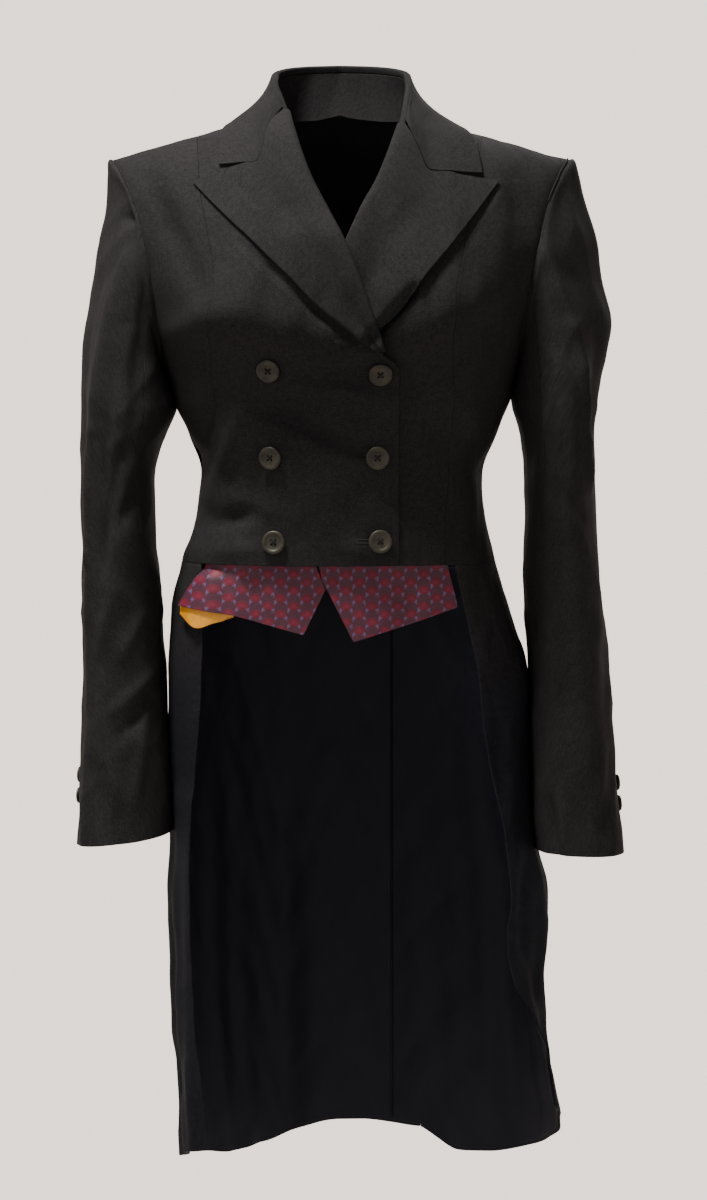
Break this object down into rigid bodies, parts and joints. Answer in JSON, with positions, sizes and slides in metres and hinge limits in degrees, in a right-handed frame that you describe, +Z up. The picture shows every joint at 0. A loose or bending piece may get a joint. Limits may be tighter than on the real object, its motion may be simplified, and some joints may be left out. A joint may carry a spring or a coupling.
{
  "type": "equestrian tailcoat",
  "caption": "Double-breasted wool riding tailcoat in its hollow worn form, with peak lapels, knee-length tails and waistcoat points under the cut-away front.",
  "frame": {"origin": "between the neck points, at shoulder height, where the wearer's neck and shoulders hold the coat", "axes": "+X to the wearer's left, the front faces -Y, +Z up"},
  "size_m": [0.4804, 0.2555, 0.9794],
  "materials": {
    "wool": "fine dark charcoal wool twill with a soft dry sheen",
    "lining": "smooth dark navy lining",
    "silk": "woven rose silk with a small grey-lavender figure",
    "backing": "golden yellow satin",
    "horn": "dark olive-grey horn-like resin, satin"
  },
  "bodies": {
    "root": {"back_left": "wool", "back_right": "wool", "side_back_left": "wool", "side_back_right": "wool", "side_front_left": "wool", "side_front_right": "wool", "front_left": "wool", "front_right": "wool", "lapel_left": "wool", "lapel_right": "wool", "collar_leaf": "wool", "collar_stand": "wool", "skirt_left": "wool", "skirt_right": "wool", "top_sleeve_left": "wool", "top_sleeve_right": "wool", "under_sleeve_left": "wool", "under_sleeve_right": "wool", "tail_lining_left": "lining", "tail_lining_right": "lining", "waistcoat_point_left": "silk", "waistcoat_point_right": "silk", "waistcoat_backing": "backing", "button_top_right": "horn", "button_top_left": "horn", "button_middle_right": "horn", "button_middle_left": "horn", "button_lower_right": "horn", "button_lower_left": "horn", "cuff_button_right_1": "horn", "cuff_button_right_2": "horn", "cuff_button_left_1": "horn", "cuff_button_left_2": "horn"}
  },
  "joints": []
}
